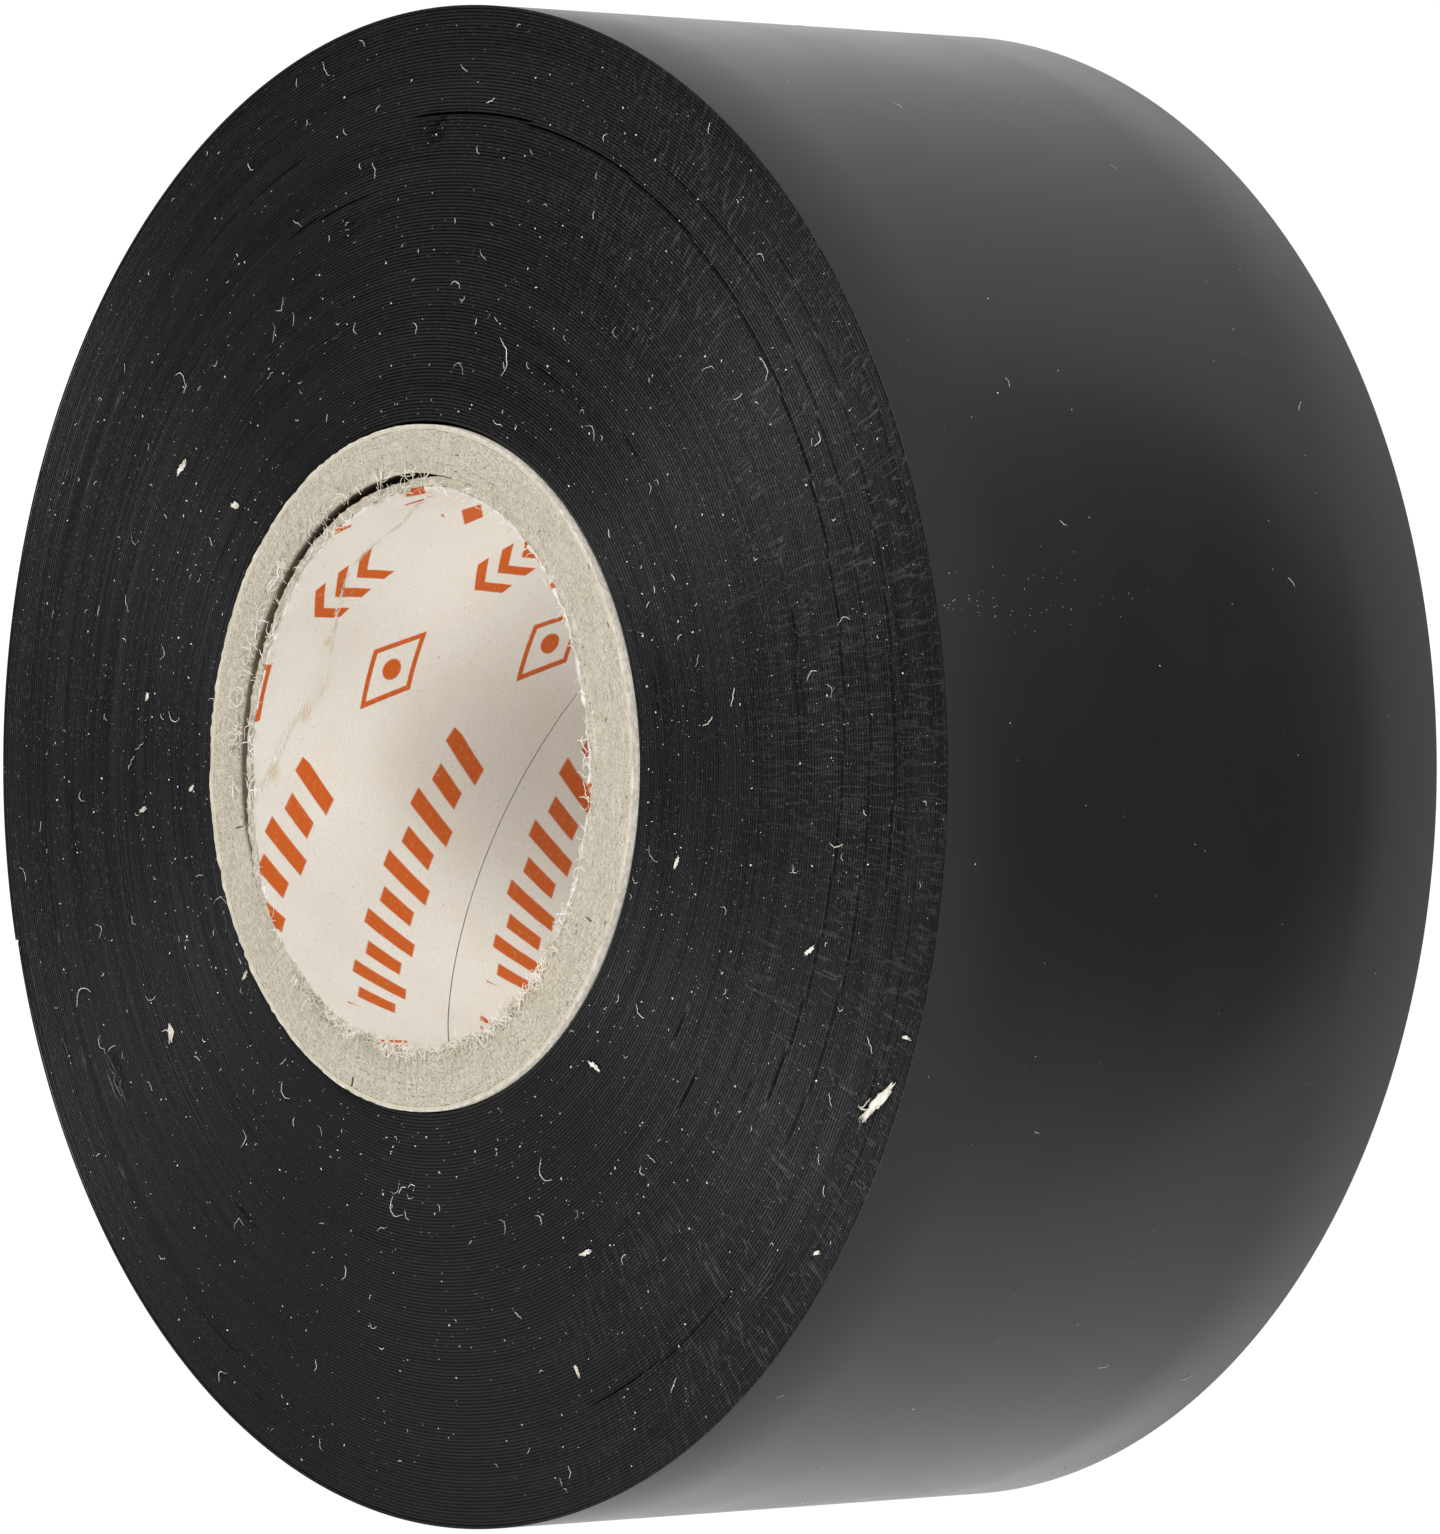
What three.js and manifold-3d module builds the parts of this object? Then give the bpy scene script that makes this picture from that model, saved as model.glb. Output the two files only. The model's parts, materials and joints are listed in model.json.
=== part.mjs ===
// Electrical tape roll, lying on its back face with the roll's axis along +Z.
// The origin is on the axis, in the plane that the roll rests on. Millimetres.
// One strip of PVC tape is wound as a spiral on a spiral-wound paper core.

import * as THREE from 'three';
import { mergeVertices } from 'three/addons/utils/BufferGeometryUtils.js';
import Module from 'manifold-3d';

const wasm = await Module();
wasm.setup();

// Driving dimensions of the tape
const tapeWidth = 30;
const tapeThickness = 0.15;
const trappedAir = 0.0125; // between two turns
const rollRadius = 35.8; // over the free end, which is the outermost point of the spiral
const coreShift = 1.75; // how far the core has crept towards the front face
const coreProud = 0.2; // the core's lead over the turns beside it
const flatRim = 3; // flat margin of both faces beside the rim

// Driving dimensions of the core
const boreRadius = 13.25;
const linerThickness = 0.15;
const innerPlyThickness = 0.4;
const boardPlyThickness = 0.48;
const boardPlyCount = 4;
const wrapThickness = 0.2;
const seamGap = 0.3; // between the two edges of a ply's strip
const seamLead = 61; // axial advance of a seam in one turn

// The free end, on the back of the roll
const endAngle = degrees(104);
const segmentFacets = 3; // facets of the roll that one segment of the free end covers
const segmentNames = ['free_end_root', 'free_end_middle', 'free_end_tip'];
const hingeGap = 0.3;

// Clearances and resolution
const glueLine = 0.03; // between two plies
const coreClearance = 0.03; // between the core and the first turn
const facets = 90; // around the roll, the same for every round piece
const facetAngle = (2 * Math.PI) / facets;
const cutMargin = 1; // how far a cutting shape runs past what it cuts
const seamSteps = 14; // straight stretches of a seam

const tapeColour = 0x29292b;
const freeEndColour = 0x1d1d1f;
const boardColour = 0xb9b09d;
const wrapColour = 0xd9d2c2;
const linerColour = 0xdfd8cf;

// What follows from them
const turnPitch = tapeThickness + trappedAir;
const plies = layPlies();
const coreRadius = plies[plies.length - 1].outer;
const windingBore = coreRadius + coreClearance;
const faceSlopeStart = rollRadius - flatRim;
const innerTurnsShift = coreShift - coreProud;
const rollTop = tapeWidth + coreShift;
const halfHingeGap = hingeGap / 2 / rollRadius; // as an angle

function degrees(value) {
  return (value * Math.PI) / 180;
}

// Solids

function solidOf(geometry) {
  geometry.deleteAttribute('normal');
  geometry.deleteAttribute('uv');
  const merged = mergeVertices(geometry);
  const mesh = new wasm.Mesh({
    numProp: 3,
    vertProperties: merged.attributes.position.array,
    triVerts: new Uint32Array(merged.index.array),
  });
  return new wasm.Manifold(mesh);
}

function geometryOf(solid) {
  const mesh = solid.getMesh();
  const geometry = new THREE.BufferGeometry();
  geometry.setAttribute('position', new THREE.BufferAttribute(mesh.vertProperties, 3));
  geometry.setIndex(new THREE.BufferAttribute(mesh.triVerts, 1));
  geometry.computeVertexNormals();
  return geometry;
}

function namedMesh(name, solid, color, roughness) {
  const material = new THREE.MeshStandardMaterial({ color, roughness, metalness: 0 });
  const mesh = new THREE.Mesh(geometryOf(solid), material);
  mesh.name = name;
  return mesh;
}

// A profile of [radius, height] corners turned about +Z, starting at the direction of endAngle.
function turned(corners) {
  const profile = corners.map(([radius, height]) => new THREE.Vector2(radius, height));
  profile.push(profile[0].clone());
  const geometry = new THREE.LatheGeometry(profile, facets);
  geometry.rotateX(Math.PI / 2);
  geometry.rotateZ(endAngle + Math.PI / 2);
  return solidOf(geometry);
}

function extruded(points, bottom, top) {
  const shape = new THREE.Shape(points);
  const geometry = new THREE.ExtrudeGeometry(shape, { depth: top - bottom, bevelEnabled: false });
  geometry.translate(0, 0, bottom);
  return solidOf(geometry);
}

function polar(radius, angle) {
  return new THREE.Vector2(radius * Math.cos(angle), radius * Math.sin(angle));
}

// A wedge of the roll between two directions less than half a turn apart.
function sector(fromAngle, toAngle) {
  const reach = 2 * rollRadius;
  const points = [new THREE.Vector2(0, 0), polar(reach, fromAngle), polar(reach, toAngle)];
  return extruded(points, -cutMargin, rollTop + cutMargin);
}

// Core

function layPlies() {
  const boards = Array.from({ length: boardPlyCount }, (_, index) => ({
    name: `core_board_ply_${index + 1}`,
    thickness: boardPlyThickness,
    color: boardColour,
  }));
  const stack = [
    { name: 'core_printed_liner', thickness: linerThickness, color: linerColour },
    { name: 'core_inner_ply', thickness: innerPlyThickness, color: boardColour },
    ...boards,
    { name: 'core_outer_wrap', thickness: wrapThickness, color: wrapColour },
  ];
  let radius = boreRadius;
  return stack.map((ply) => {
    const inner = radius;
    const outer = inner + ply.thickness;
    radius = outer + glueLine;
    return { ...ply, inner, outer };
  });
}

// The slit between the two edges of a ply's strip: a radial blade twisted into a helix.
function seamSlit(inner, outer, startAngle) {
  const depth = outer - inner + 2 * cutMargin;
  const height = tapeWidth + 2 * cutMargin;
  const geometry = new THREE.BoxGeometry(depth, seamGap, height, 1, 1, seamSteps);
  geometry.translate((inner + outer) / 2, 0, tapeWidth / 2);
  const positions = geometry.attributes.position;
  const axis = new THREE.Vector3(0, 0, 1);
  const point = new THREE.Vector3();
  for (let index = 0; index < positions.count; index += 1) {
    point.fromBufferAttribute(positions, index);
    point.applyAxisAngle(axis, startAngle + (2 * Math.PI * point.z) / seamLead);
    positions.setXYZ(index, point.x, point.y, point.z);
  }
  return solidOf(geometry);
}

// A ply is one helical strip of paper, so its wall is a ring that its own butt seam opens.
function plySolid(ply, seamAngle) {
  const ring = turned([
    [ply.inner, 0],
    [ply.outer, 0],
    [ply.outer, tapeWidth],
    [ply.inner, tapeWidth],
  ]);
  return ring.subtract(seamSlit(ply.inner, ply.outer, seamAngle));
}

function makeCore() {
  const linerSeamAngle = degrees(6);
  const seamStagger = degrees(140); // the next ply's seam lies well away from this one's
  const core = new THREE.Group();
  plies.forEach((ply, index) => {
    const solid = plySolid(ply, linerSeamAngle + index * seamStagger);
    core.add(namedMesh(ply.name, solid, ply.color, 0.9));
  });
  core.position.z = coreShift;
  return core;
}

// Tape

// Outside of the last turn: the spiral grows by one pitch in the turn that ends at endAngle.
function lastTurnRadius(angle) {
  return rollRadius - (turnPitch * (endAngle - angle)) / (2 * Math.PI);
}

function lastTurnPoints(inset) {
  return Array.from({ length: facets + 1 }, (_, index) => {
    const angle = endAngle - 2 * Math.PI + index * facetAngle;
    return polar(lastTurnRadius(angle) - inset, angle);
  });
}

// Every turn but the last. The faces slope from the rim's flat margin to the core,
// because the inner turns have crept forward with it, though not quite as far.
function makeWinding() {
  const outline = extruded(lastTurnPoints(turnPitch), -cutMargin, rollTop + cutMargin);
  const reach = rollRadius + cutMargin;
  const turns = turned([
    [windingBore, innerTurnsShift],
    [faceSlopeStart, 0],
    [reach, 0],
    [reach, tapeWidth],
    [faceSlopeStart, tapeWidth],
    [windingBore, tapeWidth + innerTurnsShift],
  ]);
  return namedMesh('tape_winding', turns.intersect(outline), tapeColour, 0.5);
}

// The tape's cut end and the start of the last turn each stop half a gap short of the spiral's step.
function lastTurn() {
  const points = [...lastTurnPoints(0), ...lastTurnPoints(tapeThickness).reverse()];
  const step = sector(endAngle - halfHingeGap, endAngle + halfHingeGap);
  return extruded(points, 0, tapeWidth).subtract(step);
}

function segmentStart(index) {
  return endAngle - (segmentNames.length - index) * segmentFacets * facetAngle;
}

function makeLastTurn() {
  const turn = lastTurn();
  const group = new THREE.Group();
  const held = turn.subtract(sector(segmentStart(0) - halfHingeGap, endAngle));
  group.add(namedMesh('tape_last_turn', held, tapeColour, 0.35));
  segmentNames.forEach((name, index) => {
    const from = segmentStart(index) + halfHingeGap;
    const to = segmentStart(index + 1) - halfHingeGap;
    const piece = turn.intersect(sector(from, to));
    group.add(namedMesh(name, piece, freeEndColour, 0.35));
  });
  return group;
}

const roll = new THREE.Group();
roll.add(makeCore());
roll.add(makeWinding());
roll.add(makeLastTurn());

export default roll;
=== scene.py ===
import json
import random
from functools import lru_cache
from math import atan2, cos, degrees, floor, hypot, pi, radians, sin

import bmesh
import bpy
from mathutils import Matrix, Quaternion, Vector, noise


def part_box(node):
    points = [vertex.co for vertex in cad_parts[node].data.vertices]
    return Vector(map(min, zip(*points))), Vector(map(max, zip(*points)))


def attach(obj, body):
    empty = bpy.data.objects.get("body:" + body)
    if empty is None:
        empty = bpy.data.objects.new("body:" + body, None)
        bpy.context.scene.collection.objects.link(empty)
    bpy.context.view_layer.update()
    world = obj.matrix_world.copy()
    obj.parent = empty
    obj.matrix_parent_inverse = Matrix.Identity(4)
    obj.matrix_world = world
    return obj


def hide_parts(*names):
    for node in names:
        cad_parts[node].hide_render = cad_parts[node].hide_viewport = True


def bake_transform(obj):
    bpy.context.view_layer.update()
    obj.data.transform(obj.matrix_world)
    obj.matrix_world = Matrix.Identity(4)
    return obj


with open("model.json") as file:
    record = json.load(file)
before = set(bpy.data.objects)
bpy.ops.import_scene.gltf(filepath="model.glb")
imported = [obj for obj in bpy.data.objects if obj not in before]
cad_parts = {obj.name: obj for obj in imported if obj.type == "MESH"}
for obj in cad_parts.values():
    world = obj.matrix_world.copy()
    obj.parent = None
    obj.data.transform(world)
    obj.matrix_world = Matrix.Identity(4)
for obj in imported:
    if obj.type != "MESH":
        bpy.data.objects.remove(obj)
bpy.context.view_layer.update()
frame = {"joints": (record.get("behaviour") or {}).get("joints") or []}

mm = 0.001  # shapes are worked out in millimetres and scaled once, when a piece is finished


# The roll's own sizes, from the frame

def boxOf(node):
    low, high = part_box(node)
    return low / mm, high / mm


def outerRadius(node):
    low, high = boxOf(node)
    return max(high.x, high.y, -low.x, -low.y)


def bearing(point):
    return degrees(atan2(point.y, point.x))


hinges = {joint["name"]: Vector(joint["pos_m"]) / mm for joint in frame["joints"]}
film = {
    "thickness": 0.15,
    "pitch": 0.1625,  # film and the air wound in with it
    "edgeRound": 0.03,
}
rootAngle = bearing(hinges["peel_root"])
hingeStep = bearing(hinges["peel_middle"]) - rootAngle
endAngle = bearing(hinges["peel_tip"]) + hingeStep
rollRadius = (hypot(*hinges["peel_root"].xy) + film["thickness"] / 2
              + film["pitch"] * (endAngle - rootAngle) / 360)
tapeWidth = boxOf("tape_last_turn")[1].z
windingRise = boxOf("tape_winding")[1].z - tapeWidth
coreBottom = boxOf("core_board_ply_1")[0].z
coreTop = boxOf("core_board_ply_1")[1].z
coreRadius = outerRadius("core_outer_wrap")  # each strip's radius is its outside
linerRadius = outerRadius("core_printed_liner")
innerPlyRadius = outerRadius("core_inner_ply")
boreRadius = linerRadius - 0.15  # the liner's paper is 0.15 thick
slopeStart = rollRadius - 3  # both faces are flat beside the rim
print(f"roll radius {rollRadius:.2f} mm, width {tapeWidth:.2f} mm, free end at {endAngle:.0f} degrees")


# How far the turns have crept towards the front at this radius
def riseAt(radius):
    share = (slopeStart - radius) / (slopeStart - coreRadius)
    return windingRise * min(max(share, 0), 1)


def turnedAngle(angle):
    return (angle + 180) % 360 - 180


# Value at an angle of a line drawn through (angle, value) points, None past its ends
def onLine(points, angle):
    if not points[0][0] <= angle <= points[-1][0]:
        return None
    for (angleA, valueA), (angleB, valueB) in zip(points, points[1:]):
        if angle <= angleB:
            share = (angle - angleA) / (angleB - angleA)
            return valueA + (valueB - valueA) * share


# Finishing a piece

def smoothFaces(bm):
    for face in bm.faces:
        face.smooth = True


# Spins the section in the bmesh about Z, a sector at a time. Returns a layer: how far round a point is
def spinSection(bm, angle, steps, sectors=8):
    layer = bm.verts.layers.float.new("share")
    sectorAngle = angle / sectors
    sectorSteps = steps // sectors
    start = bearing(bm.verts[:][0].co)
    bmesh.ops.spin(bm, geom=bm.verts[:] + bm.edges[:], axis=(0, 0, 1), cent=(0, 0, 0), dvec=(0, 0, 0),
                   angle=sectorAngle, steps=sectorSteps, use_merge=False, use_duplicate=False)
    for vert in bm.verts:
        past = radians((bearing(vert.co) - start + 0.01) % 360 - 0.01)
        vert[layer] = round(past / sectorAngle * sectorSteps) / (sectors * sectorSteps)
    sector = bm.verts[:] + bm.edges[:] + bm.faces[:]
    for number in range(1, sectors):
        copied = bmesh.ops.duplicate(bm, geom=sector)["geom"]
        verts = [item for item in copied if isinstance(item, bmesh.types.BMVert)]
        for vert in verts:
            vert[layer] += number / sectors
        bmesh.ops.rotate(bm, matrix=Matrix.Rotation(sectorAngle * number, 3, "Z"), verts=verts)
    return layer


def closeEnds(bm):
    bmesh.ops.remove_doubles(bm, verts=bm.verts[:], dist=0.002)
    openEdges = [edge for edge in bm.edges if edge.is_boundary]
    bmesh.ops.holes_fill(bm, edges=openEdges, sides=0)


def finishPiece(bm, name, materials):
    bmesh.ops.recalc_face_normals(bm, faces=bm.faces[:])
    bmesh.ops.transform(bm, matrix=Matrix.Scale(mm, 4), verts=bm.verts[:])
    mesh = bpy.data.meshes.new(name)
    bm.to_mesh(mesh)
    bm.free()
    piece = bpy.data.objects.new(name, mesh)
    bpy.context.scene.collection.objects.link(piece)
    for material in materials:
        mesh.materials.append(material)
    return piece


# Materials

def srgb(code):
    def toLinear(value):
        return value / 12.92 if value <= 0.04045 else ((value + 0.055) / 1.055) ** 2.4
    return (*(toLinear(int(code[i:i + 2], 16) / 255) for i in (1, 3, 5)), 1)


# Adds a node. The inputs are values or nodes: for the open sockets in order, or by the sockets' names
def addNode(tree, kind, inputs=(), **settings):
    made = tree.nodes.new("ShaderNode" + kind)
    for name, value in settings.items():
        setattr(made, name, value)
    if isinstance(inputs, dict):
        pairs = [(made.inputs[socket], value) for socket, value in inputs.items()]
    else:
        pairs = zip([socket for socket in made.inputs if socket.enabled], inputs)
    for socket, value in pairs:
        if isinstance(value, bpy.types.Node):
            value = next(output for output in value.outputs if output.enabled)
        if isinstance(value, bpy.types.NodeSocket):
            tree.links.new(value, socket)
        else:
            socket.default_value = value
    return made


def startMaterial(name, roughness, specular=0.5, ior=1.5):
    material = bpy.data.materials.new(name)
    material.use_nodes = True
    tree = material.node_tree
    shader = tree.nodes["Principled BSDF"]
    shader.inputs["Roughness"].default_value = roughness
    shader.inputs["Specular IOR Level"].default_value = specular
    shader.inputs["IOR"].default_value = ior
    return material, tree, shader


# Unit heading from the roll's axis, radius in mm and height in mm
def polarParts(tree):
    place = addNode(tree, "TexCoord").outputs["Object"]
    flat = addNode(tree, "VectorMath", (place, (1, 1, 0)), operation="MULTIPLY")
    heading = addNode(tree, "VectorMath", (flat,), operation="NORMALIZE")
    metres = addNode(tree, "VectorMath", (flat,), operation="LENGTH")
    radius = addNode(tree, "Math", (metres, 1 / mm), operation="MULTIPLY")
    metres = addNode(tree, "SeparateXYZ", (place,)).outputs["Z"]
    height = addNode(tree, "Math", (metres, 1 / mm), operation="MULTIPLY")
    return heading, radius, height


# Seamless pattern round the roll: around is features a radian, perMm features a millimetre of across
def polarPattern(tree, heading, across, around, perMm, kind="TexNoise", **settings):
    spread = addNode(tree, "VectorMath", (heading, around), operation="SCALE")
    rise = addNode(tree, "Math", (across, perMm), operation="MULTIPLY")
    rise = addNode(tree, "CombineXYZ", {"Z": rise})
    place = addNode(tree, "VectorMath", (spread, rise), operation="ADD")
    inputs = {"Vector": place, "Scale": 1.0, **settings}
    return addNode(tree, kind, inputs)


def cutPvcEdges():
    # soft black PVC parted by a knife: each turn's edge is a dull ridge with torn grain, with glints painted
    # on the grain
    material, tree, shader = startMaterial("cutPvcEdges", roughness=0.4, specular=0.22, ior=1.53)
    heading, radius, height = polarParts(tree)
    turns = polarPattern(tree, heading, radius, 3, 6.2, Detail=2.0, Roughness=0.5)
    bands = polarPattern(tree, heading, radius, 0.7, 0.55, Detail=2.0, Roughness=0.6)
    grain = polarPattern(tree, heading, radius, 150, 12, Detail=2.0, Roughness=0.7)
    amount = addNode(tree, "MapRange", (turns, 0.35, 0.68, 0.0, 1.0), interpolation_type="SMOOTHSTEP")
    tone = addNode(tree, "Mix", (amount, srgb("#111113"), srgb("#1b1b1d")), data_type="RGBA")
    amount = addNode(tree, "MapRange", (bands, 0.4, 0.65, 0.0, 0.5), interpolation_type="SMOOTHSTEP")
    tone = addNode(tree, "Mix", (amount, tone, srgb("#222224")), data_type="RGBA")
    # painted shade: the line between two turns holds no light, so it is painted near black
    parts = addNode(tree, "SeparateXYZ", (heading,))
    around = addNode(tree, "Math", (parts.outputs["Y"], parts.outputs["X"]), operation="ARCTAN2")
    around = addNode(tree, "Math", (around, 1 / (2 * pi), -endAngle / 360), operation="MULTIPLY_ADD")
    turned = addNode(tree, "Math", (radius, 1 / film["pitch"], 2 - rollRadius / film["pitch"]),
                     operation="MULTIPLY_ADD")
    turned = addNode(tree, "Math", (turned, around), operation="SUBTRACT")
    apart = addNode(tree, "Math", (turned, 0.5), operation="PINGPONG")
    skin = addNode(tree, "MapRange", (apart, 0.03, 0.24, 0.2, 1.0), interpolation_type="SMOOTHSTEP")
    tone = addNode(tree, "Mix", (skin, srgb("#020202"), tone), data_type="RGBA")
    # the knife pressed the turns flatter on the -Y side, which shines less
    side = addNode(tree, "VectorMath", (heading, (0, -1, 0)), operation="DOT_PRODUCT").outputs["Value"]
    sheen = addNode(tree, "MapRange", (side, 0.78, 1.0, 0.27, 0.15), interpolation_type="SMOOTHSTEP")
    specular = addNode(tree, "Math", (skin, sheen), operation="MULTIPLY")
    tree.links.new(specular.outputs[0], shader.inputs["Specular IOR Level"])
    # painted highlights: lighter spots on the grain stand in for glints of light
    paintedGlint = addNode(tree, "MapRange", (grain, 0.58, 0.7, 0.0, 0.65), interpolation_type="SMOOTHSTEP")
    tone = addNode(tree, "Mix", (paintedGlint, tone, srgb("#48484a")), data_type="RGBA")
    # dust too fine to be a shape of its own
    dots = polarPattern(tree, heading, radius, 46, 1.6, kind="TexVoronoi")
    dust = addNode(tree, "MapRange", (dots.outputs["Distance"], 0.03, 0.06, 1.0, 0.0),
                   interpolation_type="SMOOTHSTEP")
    chosen = addNode(tree, "SeparateColor", (dots.outputs["Color"],))
    chosen = addNode(tree, "MapRange", (chosen.outputs[0], 0.8, 0.95, 0.0, 1.0),
                     interpolation_type="SMOOTHSTEP")
    dust = addNode(tree, "Math", (dust, chosen), operation="MULTIPLY")
    tone = addNode(tree, "Mix", (dust, tone, srgb("#8e8a84")), data_type="RGBA")
    lowerSide = addNode(tree, "VectorMath", (heading, (-0.98, 0.2, 0)), operation="DOT_PRODUCT")
    amount = addNode(tree, "MapRange", (lowerSide.outputs["Value"], 0.3, 1.0, 0.0, 0.55),
                     interpolation_type="SMOOTHSTEP")
    tone = addNode(tree, "Mix", (amount, tone, srgb("#262628")), data_type="RGBA")
    gloss = addNode(tree, "MapRange", (turns, 0.3, 0.7, 0.42, 0.5), interpolation_type="SMOOTHSTEP")
    tree.links.new(gloss.outputs[0], shader.inputs["Roughness"])
    # chatter of the knife: thin wavering ripples across the turns, strongest on the outer half
    waver = polarPattern(tree, heading, radius, 7, 0.8, Detail=1.0)
    waver = addNode(tree, "Math", (waver, 2.5), operation="MULTIPLY")
    bent = addNode(tree, "Math", (radius, waver), operation="ADD")
    chatter = polarPattern(tree, heading, bent, 88, 0.5, Detail=1.0, Roughness=0.4)
    crest = addNode(tree, "Math", (chatter, 0.5), operation="SUBTRACT")
    crest = addNode(tree, "Math", (crest,), operation="ABSOLUTE")
    crest = addNode(tree, "MapRange", (crest, 0.0, 0.045, 1.0, 0.0), interpolation_type="SMOOTHSTEP")
    outer = addNode(tree, "MapRange", (radius, 20, 30, 0.1, 1.0), interpolation_type="SMOOTHSTEP")
    pressed = addNode(tree, "MapRange", (side, 0.1, 0.9, 0.05, 1.0), interpolation_type="SMOOTHSTEP")
    calm = addNode(tree, "MapRange", (side, 0.93, 0.995, 1.0, 0.3), interpolation_type="SMOOTHSTEP")
    patches = polarPattern(tree, heading, radius, 3.5, 0.5)
    patches = addNode(tree, "MapRange", (patches, 0.35, 0.62, 0.3, 1.0), interpolation_type="SMOOTHSTEP")
    share = addNode(tree, "Math", (outer, pressed), operation="MULTIPLY")
    share = addNode(tree, "Math", (share, patches), operation="MULTIPLY")
    share = addNode(tree, "Math", (share, calm), operation="MULTIPLY")
    ripple = addNode(tree, "Math", (crest, share), operation="MULTIPLY")
    # painted highlight: the ripple crests are painted lighter, as crests that catch the light
    paintedRippleHighlight = addNode(tree, "Math", (ripple, 0.75), operation="MULTIPLY")
    tone = addNode(tree, "Mix", (paintedRippleHighlight, tone, srgb("#444446")), data_type="RGBA")
    tree.links.new(tone.outputs[2], shader.inputs["Base Color"])
    bump = addNode(tree, "Bump", {"Strength": 1.0, "Distance": 0.000055, "Height": ripple})
    bump = addNode(tree, "Bump", {"Strength": 0.6, "Distance": 0.00002, "Height": grain, "Normal": bump})
    tree.links.new(bump.outputs[0], shader.inputs["Normal"])
    return material


def calenderedPvc():
    # calendered PVC film: an even satin skin that turns glossy at a grazing look
    material, tree, shader = startMaterial("calenderedPvc", roughness=0.29, specular=0.33, ior=1.5)
    heading, radius, height = polarParts(tree)
    cloud = polarPattern(tree, heading, height, 3, 0.12, Detail=4.0)
    amount = addNode(tree, "MapRange", (cloud, 0.35, 0.7, 0.0, 1.0), interpolation_type="SMOOTHSTEP")
    tone = addNode(tree, "Mix", (amount, srgb("#0d0d0e"), srgb("#121213")), data_type="RGBA")
    smudges = {  # angle, height, half size round the roll and up it, all in mm but the angle
        "finger": (-149, 6.2, 0.6, 1.0, 0.8),
        "touch": (-108, 16.2, 0.3, 0.6, 0.8),
        "faint": (-142, 18.5, 0.5, 0.9, 0.3),
        "upper": (-60, 22.0, 0.7, 0.9, 0.35),
        "far": (-30, 17.5, 0.8, 0.8, 0.3),
    }
    for angle, up, halfRound, halfUp, depth in smudges.values():
        spot = (cos(radians(angle)), sin(radians(angle)), 0)
        apart = addNode(tree, "VectorMath", (heading, spot), operation="DISTANCE")
        apart = addNode(tree, "Math", (apart, rollRadius / halfRound), operation="MULTIPLY")
        level = addNode(tree, "Math", (height, up), operation="SUBTRACT")
        level = addNode(tree, "Math", (level, 1 / halfUp), operation="MULTIPLY")
        reach = addNode(tree, "CombineXYZ", (apart, level))
        reach = addNode(tree, "VectorMath", (reach,), operation="LENGTH")
        amount = addNode(tree, "MapRange", (reach, 0.3, 1.2, depth, 0.0), interpolation_type="SMOOTHSTEP")
        tone = addNode(tree, "Mix", (amount, tone, srgb("#060606")), data_type="RGBA")
    tree.links.new(tone.outputs[2], shader.inputs["Base Color"])
    gloss = addNode(tree, "MapRange", (cloud, 0.3, 0.7, 0.27, 0.32), interpolation_type="SMOOTHSTEP")
    tree.links.new(gloss.outputs[0], shader.inputs["Roughness"])
    skin = polarPattern(tree, heading, height, 240, 7, Detail=2.0)
    bump = addNode(tree, "Bump", {"Strength": 0.12, "Distance": 0.00002, "Height": skin})
    tree.links.new(bump.outputs[0], shader.inputs["Normal"])
    return material


def rubberAdhesive():
    # tacky rubber adhesive on the film's inner side: wetter and glossier than the film's back
    material, tree, shader = startMaterial("rubberAdhesive", roughness=0.18, specular=0.5, ior=1.52)
    heading, radius, height = polarParts(tree)
    lanes = polarPattern(tree, heading, height, 2, 1.4, Detail=3.0)
    tone = addNode(tree, "Mix", (lanes, srgb("#101011"), srgb("#1a1918")), data_type="RGBA")
    tree.links.new(tone.outputs[2], shader.inputs["Base Color"])
    bump = addNode(tree, "Bump", {"Strength": 0.3, "Distance": 0.00003, "Height": lanes})
    tree.links.new(bump.outputs[0], shader.inputs["Normal"])
    return material


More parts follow.
